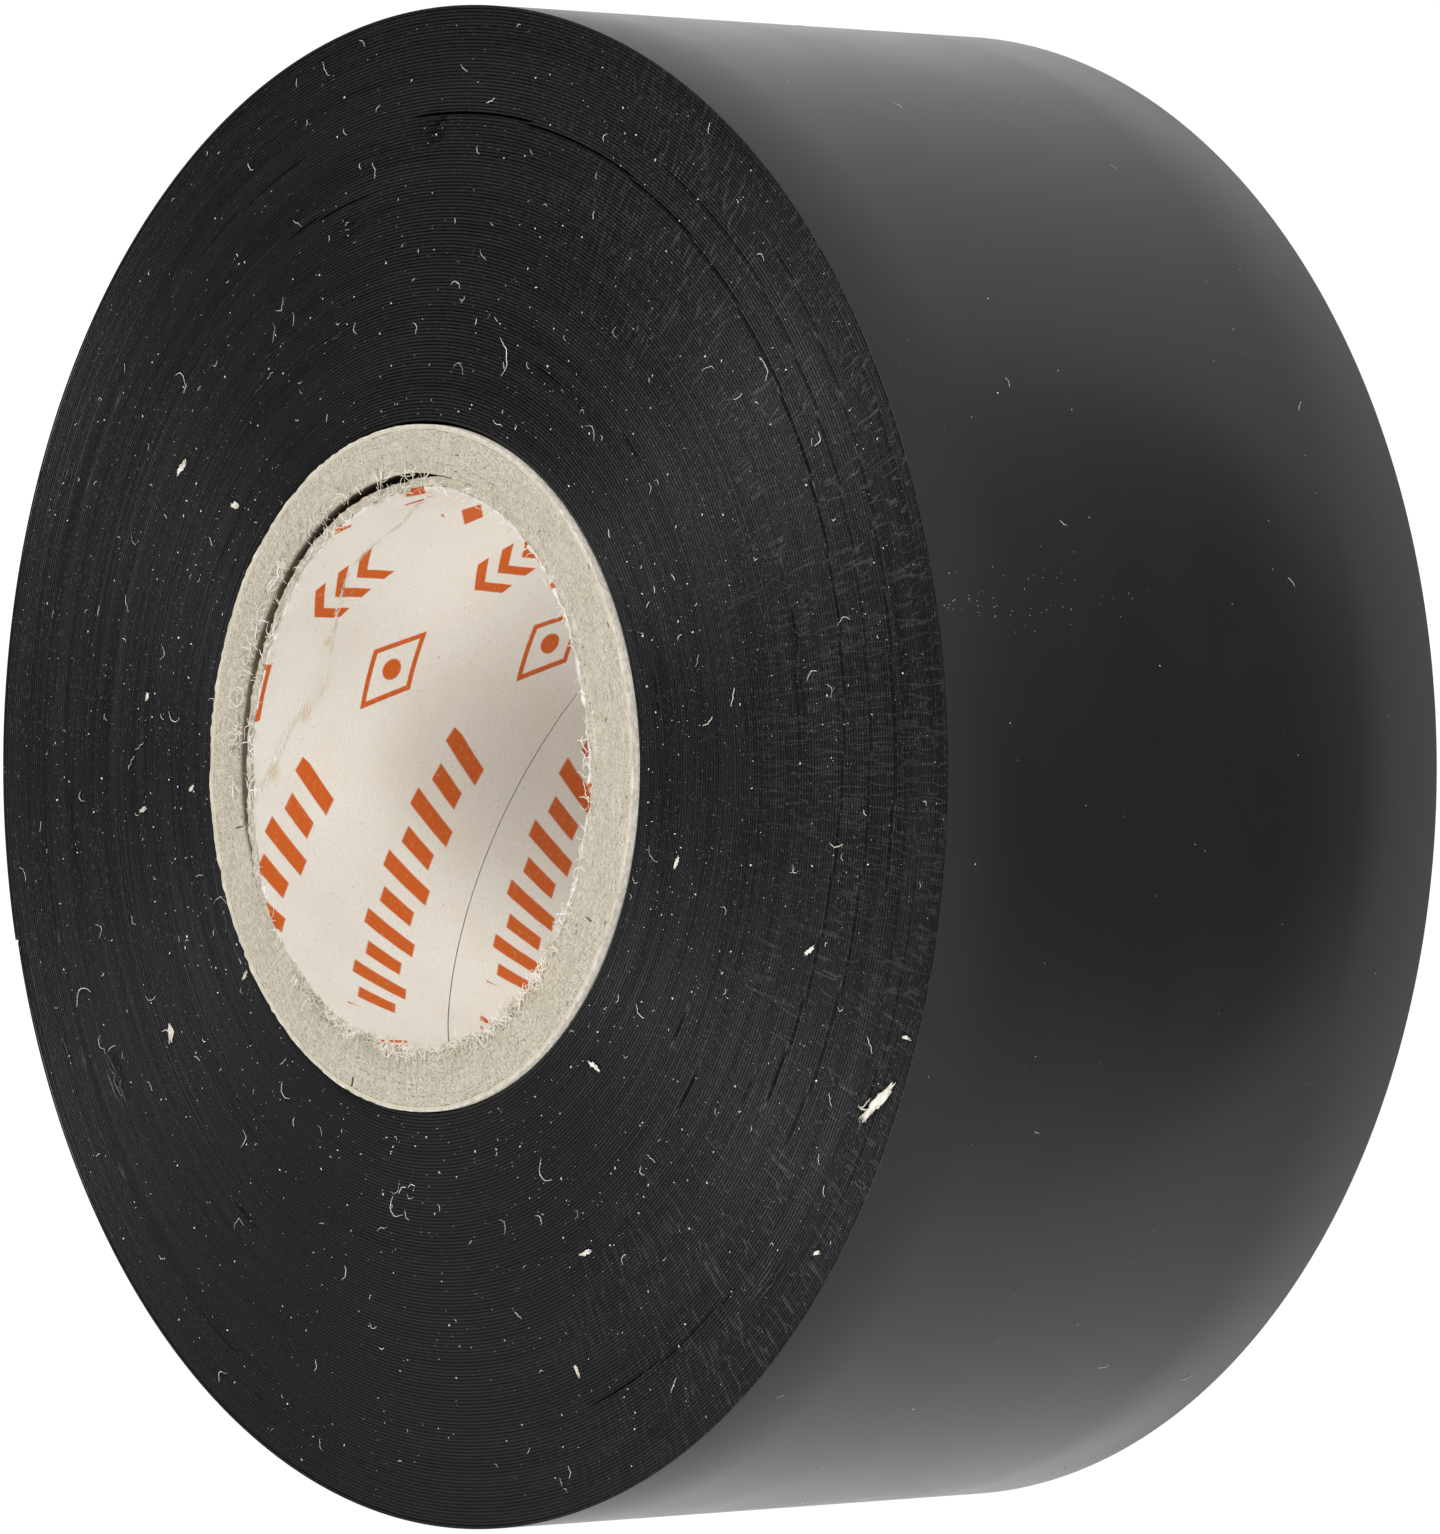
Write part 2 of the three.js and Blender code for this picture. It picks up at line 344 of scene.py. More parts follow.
def greyboard():
    # recycled greyboard, slit dry: matt straw-grey fibre with darker layers and short dark dashes
    material, tree, shader = startMaterial("greyboard", roughness=0.92, specular=0.15, ior=1.5)
    heading, radius, height = polarParts(tree)
    layers = polarPattern(tree, heading, radius, 6, 2.6, Detail=4.0, Roughness=0.7)
    fibres = polarPattern(tree, heading, radius, 55, 9.0, Detail=4.0, Roughness=0.8)
    grit = polarPattern(tree, heading, radius, 170, 12.0, Detail=2.0, Roughness=0.7)
    walls = polarPattern(tree, heading, height, 60, 4.0, Detail=3.0, Roughness=0.7)
    amount = addNode(tree, "MapRange", (layers, 0.35, 0.65, 0.0, 1.0), interpolation_type="SMOOTHSTEP")
    tone = addNode(tree, "Mix", (amount, srgb("#dacfb9"), srgb("#e3dac7")), data_type="RGBA")
    flecks = polarPattern(tree, heading, radius, 30, 6.5, Detail=2.0)
    stains = [  # pattern, where it starts and is full, how much, colour
        (fibres, 0.5, 0.66, 0.8, "#f1ebdd"),
        (fibres, 0.46, 0.32, 0.75, "#9c9078"),
        (grit, 0.55, 0.7, 0.6, "#f6f1e6"),
        (grit, 0.42, 0.3, 0.6, "#958a73"),
        (flecks, 0.68, 0.76, 0.8, "#5b5344"),
    ]
    for pattern, first, full, most, colour in stains:
        amount = addNode(tree, "MapRange", (pattern, first, full, 0.0, most), interpolation_type="SMOOTHSTEP")
        tone = addNode(tree, "Mix", (amount, tone, srgb(colour)), data_type="RGBA")
    # brown glue and painted shadow in the slot where the inner paper came away
    slot = addNode(tree, "MapRange", (radius, innerPlyRadius + 0.04, innerPlyRadius + 0.1, 1.0, 0.0),
                   interpolation_type="SMOOTHSTEP")
    under = addNode(tree, "MapRange", (height, coreTop - 0.3, coreTop - 0.05, 0.85, 0.0),
                    interpolation_type="SMOOTHSTEP")
    slot = addNode(tree, "Math", (slot, under), operation="MULTIPLY")
    tone = addNode(tree, "Mix", (slot, tone, srgb("#4a3c28")), data_type="RGBA")
    tree.links.new(tone.outputs[2], shader.inputs["Base Color"])
    relief = addNode(tree, "Math", (fibres, walls), operation="ADD")
    relief = addNode(tree, "Math", (relief, grit), operation="ADD")
    bump = addNode(tree, "Bump", {"Strength": 0.9, "Distance": 0.00014, "Height": relief})
    tree.links.new(bump.outputs[0], shader.inputs["Normal"])
    return material


def wrapPaper():
    # bleached outer paper: a pale clean line round the board
    material, tree, shader = startMaterial("wrapPaper", roughness=0.8, specular=0.2, ior=1.5)
    heading, radius, height = polarParts(tree)
    fibres = polarPattern(tree, heading, height, 50, 5.0, Detail=3.0, Roughness=0.7)
    amount = addNode(tree, "MapRange", (fibres, 0.35, 0.65, 0.0, 1.0), interpolation_type="SMOOTHSTEP")
    tone = addNode(tree, "Mix", (amount, srgb("#c9c1b0"), srgb("#e6e1d5")), data_type="RGBA")
    # the cut end is as grey as board
    ends = addNode(tree, "MapRange", (radius, coreRadius - 0.12, coreRadius - 0.04, 0.85, 0.0),
                   interpolation_type="SMOOTHSTEP")
    tone = addNode(tree, "Mix", (ends, tone, srgb("#d3c9b5")), data_type="RGBA")
    tree.links.new(tone.outputs[2], shader.inputs["Base Color"])
    bump = addNode(tree, "Bump", {"Strength": 0.5, "Distance": 0.00006, "Height": fibres})
    tree.links.new(bump.outputs[0], shader.inputs["Normal"])
    return material


printing = {  # millimetres along and across the liner's strip
    "rowPitch": 6.7,
    "firstRow": 15.2,
    "start": 9.7,
    "period": 39.0,
    "barsLength": 19.0,
    "barPitch": 1.9,
    "barWidth": 0.52,  # as a share of the pitch
    "diamond": 32.6,
    "chevrons": 25.3,
}


def printedLinerPaper():
    # machine-glazed white paper with flexo ink that soaks in unevenly
    material, tree, shader = startMaterial("printedLinerPaper", roughness=0.62, specular=0.3, ior=1.5)
    strip = addNode(tree, "UVMap", uv_map="strip")
    parts = addNode(tree, "SeparateXYZ", (strip,))
    along, across = parts.outputs["X"], parts.outputs["Y"]
    # rows across the strip, each a row's pitch further along than the last
    fromFirst = addNode(tree, "Math", (across, printing["firstRow"]), operation="SUBTRACT")
    row = addNode(tree, "Math", (fromFirst, printing["rowPitch"]), operation="DIVIDE")
    row = addNode(tree, "Math", (row,), operation="ROUND")
    rowPlace = addNode(tree, "Math", (row, printing["rowPitch"]), operation="MULTIPLY")
    y = addNode(tree, "Math", (fromFirst, rowPlace), operation="SUBTRACT")
    shifted = addNode(tree, "Math", (along, printing["start"]), operation="SUBTRACT")
    shifted = addNode(tree, "Math", (shifted, rowPlace), operation="SUBTRACT")
    x = addNode(tree, "Math", (shifted, printing["period"], 0.0), operation="WRAP")
    awayY = addNode(tree, "Math", (y,), operation="ABSOLUTE")
    # a run of slanted bars, two heights in turn
    slant = addNode(tree, "Math", (y, 0.25), operation="MULTIPLY")
    slanted = addNode(tree, "Math", (x, slant), operation="ADD")
    slanted = addNode(tree, "Math", (slanted, printing["barPitch"]), operation="DIVIDE")
    odd = addNode(tree, "Math", (slanted,), operation="FLOOR")
    odd = addNode(tree, "Math", (odd, 2.0, 0.0), operation="WRAP")
    halfHeight = addNode(tree, "Math", (odd, 0.45), operation="MULTIPLY")
    halfHeight = addNode(tree, "Math", (1.4, halfHeight), operation="SUBTRACT")
    inHeight = addNode(tree, "Math", (awayY, halfHeight), operation="SUBTRACT")
    inHeight = addNode(tree, "MapRange", (inHeight, -0.06, 0.06, 1.0, 0.0), interpolation_type="SMOOTHSTEP")
    halfBar = printing["barWidth"] / 2
    inBar = addNode(tree, "Math", (slanted,), operation="FRACT")
    inBar = addNode(tree, "Math", (inBar, halfBar + 0.1), operation="SUBTRACT")
    inBar = addNode(tree, "Math", (inBar,), operation="ABSOLUTE")
    inBar = addNode(tree, "MapRange", (inBar, halfBar - 0.03, halfBar + 0.03, 1.0, 0.0),
                    interpolation_type="SMOOTHSTEP")
    inRun = addNode(tree, "Math", (x, printing["barsLength"]), operation="LESS_THAN")
    bars = addNode(tree, "Math", (inHeight, inBar), operation="MULTIPLY")
    bars = addNode(tree, "Math", (bars, inRun), operation="MULTIPLY")
    # an open diamond with a dot in it
    fromDiamond = addNode(tree, "Math", (x, printing["diamond"]), operation="SUBTRACT")
    diamondX = addNode(tree, "Math", (fromDiamond,), operation="ABSOLUTE")
    diamondX = addNode(tree, "Math", (diamondX, 2.6), operation="DIVIDE")
    diamondY = addNode(tree, "Math", (awayY, 1.75), operation="DIVIDE")
    outline = addNode(tree, "Math", (diamondX, diamondY), operation="ADD")
    outline = addNode(tree, "Math", (outline, 0.88), operation="SUBTRACT")
    outline = addNode(tree, "Math", (outline,), operation="ABSOLUTE")
    outline = addNode(tree, "MapRange", (outline, 0.07, 0.12, 1.0, 0.0), interpolation_type="SMOOTHSTEP")
    dot = addNode(tree, "CombineXYZ", (fromDiamond, y))
    dot = addNode(tree, "VectorMath", (dot,), operation="LENGTH")
    dot = addNode(tree, "MapRange", (dot, 0.5, 0.6, 1.0, 0.0), interpolation_type="SMOOTHSTEP")
    # three chevrons
    folded = addNode(tree, "Math", (x, printing["chevrons"]), operation="SUBTRACT")
    slant = addNode(tree, "Math", (awayY, 0.6), operation="MULTIPLY")
    folded = addNode(tree, "Math", (folded, slant), operation="ADD")
    folded = addNode(tree, "Math", (folded, 2.1), operation="ADD")
    stroke = addNode(tree, "Math", (folded, 1.4), operation="DIVIDE")
    stroke = addNode(tree, "Math", (stroke,), operation="FRACT")
    stroke = addNode(tree, "Math", (stroke, 0.5), operation="SUBTRACT")
    stroke = addNode(tree, "Math", (stroke,), operation="ABSOLUTE")
    stroke = addNode(tree, "MapRange", (stroke, 0.2, 0.26, 1.0, 0.0), interpolation_type="SMOOTHSTEP")
    afterStart = addNode(tree, "Math", (folded, 0.0), operation="GREATER_THAN")
    beforeEnd = addNode(tree, "Math", (folded, 4.2), operation="LESS_THAN")
    inHeight = addNode(tree, "Math", (awayY, 1.55), operation="LESS_THAN")
    chevrons = addNode(tree, "Math", (afterStart, beforeEnd), operation="MULTIPLY")
    chevrons = addNode(tree, "Math", (chevrons, inHeight), operation="MULTIPLY")
    chevrons = addNode(tree, "Math", (stroke, chevrons), operation="MULTIPLY")
    ink = addNode(tree, "Math", (bars, chevrons), operation="MAXIMUM")
    diamond = addNode(tree, "Math", (outline, dot), operation="MAXIMUM")
    ink = addNode(tree, "Math", (ink, diamond), operation="MAXIMUM")
    soak = addNode(tree, "TexNoise", {"Vector": strip, "Scale": 3.5, "Detail": 4.0, "Roughness": 0.7})
    taken = addNode(tree, "MapRange", (soak, 0.25, 0.45, 0.7, 1.0), interpolation_type="SMOOTHSTEP")
    ink = addNode(tree, "Math", (ink, taken), operation="MULTIPLY")
    fibres = addNode(tree, "TexNoise", {"Vector": strip, "Scale": 6.0, "Detail": 4.0, "Roughness": 0.6})
    cloud = addNode(tree, "TexNoise", {"Vector": strip, "Scale": 0.25, "Detail": 3.0})
    amount = addNode(tree, "MapRange", (fibres, 0.35, 0.65, 0.0, 1.0), interpolation_type="SMOOTHSTEP")
    paper = addNode(tree, "Mix", (amount, srgb("#dcd9d0"), srgb("#e4e1d9")), data_type="RGBA")
    amount = addNode(tree, "MapRange", (cloud, 0.4, 0.7, 0.0, 0.35), interpolation_type="SMOOTHSTEP")
    paper = addNode(tree, "Mix", (amount, paper, srgb("#d8cfc2")), data_type="RGBA")
    motes = addNode(tree, "TexNoise", {"Vector": strip, "Scale": 5.0, "Detail": 1.0})
    amount = addNode(tree, "MapRange", (motes, 0.7, 0.76, 0.0, 0.45), interpolation_type="SMOOTHSTEP")
    paper = addNode(tree, "Mix", (amount, paper, srgb("#8f8574")), data_type="RGBA")
    heading, radius, height = polarParts(tree)
    for angle, up, halfRound, halfUp in ((78, 28.5, 0.7, 0.5), (62, 28.1, 0.4, 0.4), (91, 30.4, 0.6, 0.6)):
        # glue that has yellowed where the paper came loose
        spot = (cos(radians(angle)), sin(radians(angle)), 0)
        apart = addNode(tree, "VectorMath", (heading, spot), operation="DISTANCE").outputs["Value"]
        apart = addNode(tree, "Math", (apart, boreRadius / halfRound), operation="MULTIPLY")
        level = addNode(tree, "Math", (height, up), operation="SUBTRACT")
        level = addNode(tree, "Math", (level, halfUp), operation="DIVIDE")
        reach = addNode(tree, "CombineXYZ", (apart, level))
        reach = addNode(tree, "VectorMath", (reach,), operation="LENGTH").outputs["Value"]
        uneven = addNode(tree, "Math", (soak, 0.8), operation="MULTIPLY")
        reach = addNode(tree, "Math", (reach, uneven), operation="ADD")
        amount = addNode(tree, "MapRange", (reach, 0.5, 1.5, 0.6, 0.0), interpolation_type="SMOOTHSTEP")
        paper = addNode(tree, "Mix", (amount, paper, srgb("#cdb98a")), data_type="RGBA")
    tone = addNode(tree, "Mix", (ink, paper, srgb("#c4590f")), data_type="RGBA")
    tree.links.new(tone.outputs[2], shader.inputs["Base Color"])
    bump = addNode(tree, "Bump", {"Strength": 0.35, "Distance": 0.00004, "Height": fibres})
    tree.links.new(bump.outputs[0], shader.inputs["Normal"])
    return material


def paperDust():
    # torn paper fibre and flakes from slitting: pale and matt, some of it stained by glue
    material, tree, shader = startMaterial("paperDust", roughness=0.9, specular=0.1, ior=1.5)
    place = addNode(tree, "TexCoord").outputs["Object"]
    patch = addNode(tree, "TexNoise", {"Vector": place, "Scale": 900.0, "Detail": 2.0})
    amount = addNode(tree, "MapRange", (patch, 0.35, 0.65, 0.0, 1.0), interpolation_type="SMOOTHSTEP")
    tone = addNode(tree, "Mix", (amount, srgb("#d0c7b3"), srgb("#f2ede2")), data_type="RGBA")
    tree.links.new(tone.outputs[2], shader.inputs["Base Color"])
    return material


edgesLook = cutPvcEdges()
filmLook = calenderedPvc()
adhesiveLook = rubberAdhesive()
boardLook = greyboard()
wrapLook = wrapPaper()
linerLook = printedLinerPaper()
dustLook = paperDust()
print("materials made")


# The wound turns

winding = {
    "turns": 119,
    "steps": 480,
    "grooveDepth": 0.056,
    "ridgeLean": 0.07,  # how far a ridge sits towards the core, as a share of the pitch
    "turnWander": 0.007,  # one turn's edge against the next
    "bandWander": 0.022,  # groups of turns that crept together
    "cracks": [  # gaps between turns: depth in mm, then the line as (angle, radius) points
        (0.4, [(-123, 28.1), (-121, 28.2), (-105, 28.65), (-93, 29.0), (-81, 29.4), (-60, 29.9), (-42, 30.2),
                (-32, 30.4), (-17, 30.6), (3, 30.73)]),
        (0.2, [(-125, 30.15), (-81, 30.9), (-45, 31.8), (-31, 31.9)]),
        (0.18, [(-100, 32.1), (-81, 32.4), (-45, 33.5)]),
        (0.18, [(-118, 33.8), (-96, 33.95)]),
        (0.12, [(-100, 26.2), (-70, 26.7), (-52, 27.1)]),
        (0.12, [(-160, 31.2), (-138, 31.6)]),
        (0.1, [(20, 31.0), (64, 31.6)]),
        (0.1, [(95, 32.0), (150, 32.8)]),
        (0.26, [(-131, 23.8), (-125, 23.8)]),
        (0.26, [(-125, 21.9), (-120, 21.9)]),
        (0.26, [(-125, 27.0), (-121, 27.0)]),
        (0.26, [(-79, 26.8), (-74, 26.8)]),
        (0.20, [(-83, 17.7), (-76, 17.7)]),
        (0.26, [(-49, 21.1), (-43, 21.1)]),
        (0.20, [(-30, 20.25), (-24, 20.25)]),
        (0.20, [(-59, 28.5), (-56, 28.5)]),
        (0.12, [(11, 27.6), (24, 27.8)]),
        (0.14, [(142, 26.2), (148, 26.2)]),
    ],
    "scrapes": [  # angle, radius, half width in degrees, half height in mm, depth in mm
        (-134.5, 32.9, 2.5, 0.6, 0.20),
        (0.5, 30.0, 2.6, 1.0, 0.34),
        (14, 26.4, 3.2, 1.0, 0.16),
        (27, 23.5, 1.2, 0.5, 0.20),
        (32, 23.5, 1.0, 0.4, 0.18),
        (120.5, 30.0, 2.6, 0.7, 0.30),
        (114.5, 33.3, 1.6, 0.4, 0.16),
        (145, 26.2, 2.0, 0.3, 0.14),
        (154, 33.8, 1.2, 0.6, 0.16),
        (64.5, 33.6, 0.7, 0.7, 0.14),
        (82, 27.1, 1.6, 0.6, 0.12),
    ],
}


# Radius and depth of each crack that crosses this angle. Cracks close at their ends
@lru_cache(maxsize=None)
def cracksAt(angle):
    found = []
    for depth, points in winding["cracks"]:
        radius = onLine(points, angle)
        if radius is not None:
            fromEnd = min(angle - points[0][0], points[-1][0] - angle)
            found.append((radius, depth * min(1, 0.35 + fromEnd / 3)))
    return found


def scrapeDepth(angle, radius):
    depth = 0
    for spotAngle, spotRadius, halfWide, halfHigh, deepest in winding["scrapes"]:
        reach = hypot((angle - spotAngle) / halfWide, (radius - spotRadius) / halfHigh)
        if reach < 1:
            rough = noise.noise(Vector((angle * 2.2, radius * 4.1, spotAngle)))
            depth += deepest * (1 - reach ** 2) * (0.55 + 1.1 * rough)
    return depth


# Height of a turn's edge over the even face. Turn counts continuously along the strip
def turnHeight(turn):
    own = noise.noise(Vector((turn * 11.3, 2.7, 0)))
    band = noise.noise(Vector((turn * 0.19, 8.1, 0))) + 0.5 * noise.noise(Vector((turn * 0.63, 4.4, 0)))
    return winding["turnWander"] * own + winding["bandWander"] * band


# A band of turns as one spiral solid: a groove between each two turns and a ridge on each
def windBand(name, firstTurn, turns):
    pitch = film["pitch"]
    outer = rollRadius - 2 * pitch - firstTurn * pitch
    inner = outer - turns * pitch
    bm = bmesh.new()
    corners = [(outer, 0, tapeWidth), (inner, 0, tapeWidth), (inner, 0, 0), (outer, 0, 0)]
    corners = [bm.verts.new(co) for co in corners]
    edges = [bm.edges.new((corners[i], corners[(i + 1) % 4])) for i in range(4)]
    for edge, cuts in zip(edges, (2 * turns - 1, 1, turns - 1, 1)):
        bmesh.ops.subdivide_edges(bm, edges=[edge], cuts=cuts)
    bmesh.ops.rotate(bm, matrix=Matrix.Rotation(radians(endAngle), 3, "Z"), verts=bm.verts[:])
    shareLayer = spinSection(bm, 2 * pi, winding["steps"])
    turnLayer = bm.verts.layers.float.new("turn")
    for vert in bm.verts:
        flatRadius = hypot(vert.co.x, vert.co.y)
        share = vert[shareLayer]
        angle = turnedAngle(endAngle + 360 * share)
        radius = flatRadius + pitch * share
        half = round((outer - flatRadius) / pitch * 2)  # half turns in from the band's outside
        turn = firstTurn + half / 2 - share
        vert[turnLayer] = turn
        if half % 2:
            radius -= winding["ridgeLean"] * pitch
        height = vert.co.z
        if height > tapeWidth - 0.01:
            height += riseAt(radius) + turnHeight(turn)
            if half % 2 == 0:  # a groove
                height -= winding["grooveDepth"]
                for crackRadius, depth in cracksAt(round(angle, 3)):
                    if abs(radius - crackRadius) <= pitch / 2:
                        height -= depth
            height -= scrapeDepth(angle, radius)
        elif height < 0.01 and radius < slopeStart:
            height += riseAt(radius) + abs(turnHeight(turn + 400)) * min(1, slopeStart - radius + 0.4)
        vert.co = (radius * cos(radians(angle)), radius * sin(radians(angle)), height)
    closeEnds(bm)
    smoothFaces(bm)
    for face in bm.faces:  # the outermost wall is the film's own back
        centre = face.calc_center_median()
        if firstTurn == 0 and hypot(centre.x, centre.y) > outer - 0.01 and 0.1 < centre.z < tapeWidth - 0.1:
            face.material_index = 1
    for edge in bm.edges:  # ridges and grooves stay crisp, while each turn runs smoothly round
        first, second = edge.verts
        edge.smooth = abs(first[turnLayer] - second[turnLayer]) > 0.25
    return finishPiece(bm, name, [edgesLook, filmLook])


outerTurns = windBand("outer_turns", 0, 60)
innerTurns = windBand("inner_turns", 60, winding["turns"] - 60)
for band in (outerTurns, innerTurns):
    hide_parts("tape_winding")
    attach(band, "roll")
print("turns wound")


# The last turn and the free end

# A stretch of the strip on the outside of the roll, with its adhesive side inwards
def windFilm(name, fromAngle, toAngle, steps):
    bm = bmesh.new()
    bmesh.ops.create_grid(bm, x_segments=1, y_segments=1, size=0.5)
    bmesh.ops.delete(bm, geom=bm.faces[:], context="FACES_ONLY")
    bmesh.ops.scale(bm, vec=(film["thickness"], tapeWidth, 1), verts=bm.verts[:])
    bmesh.ops.rotate(bm, matrix=Matrix.Rotation(pi / 2, 3, "X"), verts=bm.verts[:])
    bmesh.ops.translate(bm, vec=(rollRadius - film["thickness"] / 2, 0, tapeWidth / 2), verts=bm.verts[:])
    bmesh.ops.bevel(bm, geom=bm.verts[:], offset=film["edgeRound"], affect="VERTICES", segments=2,
                    profile=0.5, material=-1)
    wide = [edge for edge in bm.edges if abs(edge.verts[0].co.z - edge.verts[1].co.z) > tapeWidth / 2]
    bmesh.ops.subdivide_edges(bm, edges=wide, cuts=5)
    bmesh.ops.rotate(bm, matrix=Matrix.Rotation(radians(fromAngle), 3, "Z"), verts=bm.verts[:])
    shareLayer = spinSection(bm, radians(toAngle - fromAngle), steps, sectors=4)
    for vert in bm.verts:
        past = (toAngle - fromAngle) * vert[shareLayer]
        lag = (endAngle - fromAngle - past) / 360 * film["pitch"]
        scale = 1 - lag / rollRadius
        vert.co.x *= scale
        vert.co.y *= scale
    closeEnds(bm)
    smoothFaces(bm)
    bmesh.ops.recalc_face_normals(bm, faces=bm.faces[:])
    for face in bm.faces:
        centre = face.calc_center_median()
        inward = face.normal.xy.dot(centre.xy.normalized())
        if inward < -0.9:
            face.material_index = 1
        elif abs(face.normal.z) > 0.7:
            face.material_index = 2
    return finishPiece(bm, name, [filmLook, adhesiveLook, edgesLook])


filmStart = endAngle - 360
peelStart = rootAngle - 2  # the film starts to bend just before its first hinge
lastTurn = windFilm("last_turn", filmStart, peelStart, 428)
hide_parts("tape_last_turn")
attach(lastTurn, "roll")
segments = [  # piece, its two bodies, the CAD node it stands for, its hinge
    ("peeling_root", "roll", "end_root", "free_end_root", "peel_root"),
    ("peeling_middle", "end_root", "end_middle", "free_end_middle", "peel_middle"),
    ("peeling_tip", "end_middle", "end_tip", "free_end_tip", "peel_tip"),
]
for order, (name, fixed, moving, node, hinge) in enumerate(segments):
    pieceStart = peelStart + order * hingeStep
    pieceEnd = endAngle - 0.24 if order == 2 else pieceStart + hingeStep
    piece = windFilm(name, pieceStart, pieceEnd, 32)
    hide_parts(node)
    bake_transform(piece)
print("film wound")


# The paper core

core = {
    "steps": 360,
    "lead": 61.15,  # rise of a strip in one turn
    "stripAngle": 36.3,
    "linerSeam": 5.3,  # angle of the liner's seam at the bench
    "stagger": 140,
    "glueLine": 0.004,
    "looseInside": [  # how far the liner stands in from the bore at the front, by angle
        (-180, 0.13), (-162, 0.06), (-137, 0.02), (-128, 0.3), (-111, 0.4), (-90, 0.42), (-76, 0.42),
        (-67, 0.3), (-57, 0.15), (-34, 0.0), (-8, 0.1), (0, 0.3), (20, 0.44), (35, 0.5), (50, 0.56),
        (61, 0.64), (88, 0.6), (97, 0.6), (110, 0.4), (120, 0.1), (154, 0.06), (164, 0.16), (180, 0.13)],
    # where the board behind them stays away from them, as a share; elsewhere it still fills the gap
    "slotOpen": [(-180, 0), (-20, 0), (0, 1), (100, 1), (125, 0), (180, 0)],
    "gapDepth": 7.0,  # how deep the loose part runs in from the front
    "crease": [  # the torn line on the liner, as (angle, height) points
        (2, 30.6), (9, 29.2), (27, 27.9), (43, 28.9), (62, 27.8), (74, 27.7), (79, 29.3), (90.5, 30.6),
        (96, 31.7)],
    "creaseLift": 0.11,
}
linerUp = cos(radians(core["stripAngle"]))
linerRound = sin(radians(core["stripAngle"]))


# How far the two inner papers stand off the board, in mm
def looseness(angle, height):
    front = max(0, 1 - (coreTop - height) / core["gapDepth"])
    back = max(0, 1 - (height - coreBottom) / 3)
    crease = onLine(core["crease"], turnedAngle(angle))
    lifted = 0 if crease is None else core["creaseLift"] * min(max((height - crease) / 0.35 + 0.5, 0), 1)
    wave = 0.5 + 0.5 * noise.noise(Vector((cos(radians(angle)) * 2, sin(radians(angle)) * 2, 5)))
    return onLine(core["looseInside"], turnedAngle(angle)) * front ** 1.6 + 0.18 * wave * back ** 2 + lifted


# One spiral-wound paper strip: its section is spun almost right round and then twisted up the core
def rollPly(name, inside, outside, seamAngle, gap, material, node,
            loose=0.0, ragged=0.04, proud=0.0, fills=False):
    bm = bmesh.new()
    thickness = outside - inside
    top = coreTop + proud
    bmesh.ops.create_grid(bm, x_segments=1, y_segments=1, size=0.5)
    bmesh.ops.delete(bm, geom=bm.faces[:], context="FACES_ONLY")
    bmesh.ops.scale(bm, vec=(thickness, top - coreBottom, 1), verts=bm.verts[:])
    bmesh.ops.rotate(bm, matrix=Matrix.Rotation(pi / 2, 3, "X"), verts=bm.verts[:])
    bmesh.ops.translate(bm, vec=(inside + thickness / 2, 0, (top + coreBottom) / 2), verts=bm.verts[:])
    tall = [edge for edge in bm.edges if abs(edge.verts[0].co.z - edge.verts[1].co.z) > 1]
    flat = [edge for edge in bm.edges if edge not in tall]
    bmesh.ops.subdivide_edges(bm, edges=tall, cuts=34)
    bmesh.ops.subdivide_edges(bm, edges=flat, cuts=3)
    for vert in bm.verts:  # rows crowd towards the front, where the paper moves most
        share = min(1, (vert.co.z - coreBottom) / (top - coreBottom))
        vert.co.z = coreBottom + (top - coreBottom) * (1 - (1 - share) ** 1.5)
    around = 2 * pi - gap / inside
    shareLayer = spinSection(bm, around, core["steps"])
    closeEnds(bm)
    ends = [face for face in bm.faces if len(face.verts) > 4]
    bmesh.ops.triangulate(bm, faces=ends)  # the seam's two walls, while they are still flat
    middle = (inside + outside) / 2
    for vert in bm.verts:
        radius = hypot(vert.co.x, vert.co.y)
        height = vert.co.z
        angle = seamAngle + degrees(around) * vert[shareLayer] + 360 * (height - coreBottom) / core["lead"]
        turn = radians(angle)
        across = (radius - middle) / thickness * 2  # -1 inside, 1 outside
        if height > top - 0.01:
            rough = noise.noise(Vector((cos(turn) * 75, sin(turn) * 75, radius * 5)))
            coarse = noise.noise(Vector((cos(turn) * 9, sin(turn) * 9, radius)))
            height += ragged * (1.3 * rough + coarse) - 0.003 * across ** 2
            radius += ragged * 0.5 * rough * across
        elif height < coreBottom + 0.01:
            rough = noise.noise(Vector((cos(turn) * 40, sin(turn) * 40, radius * 5 + 30)))
            height += ragged * rough + 0.05 * across ** 2
        follows = 1
        if fills:
            follows = (1 - across) / 2 * (1 - onLine(core["slotOpen"], turnedAngle(angle)))
        radius -= loose * follows * looseness(angle, height)
        vert.co = (radius * cos(turn), radius * sin(turn), height)
    smoothFaces(bm)
    for edge in bm.edges:
        edge.smooth = not edge.is_manifold or edge.calc_face_angle() < 0.8
    if node == "core_printed_liner":
        mapStrip(bm)
    piece = finishPiece(bm, name, [material])
    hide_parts(node)
    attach(piece, "roll")
    return piece


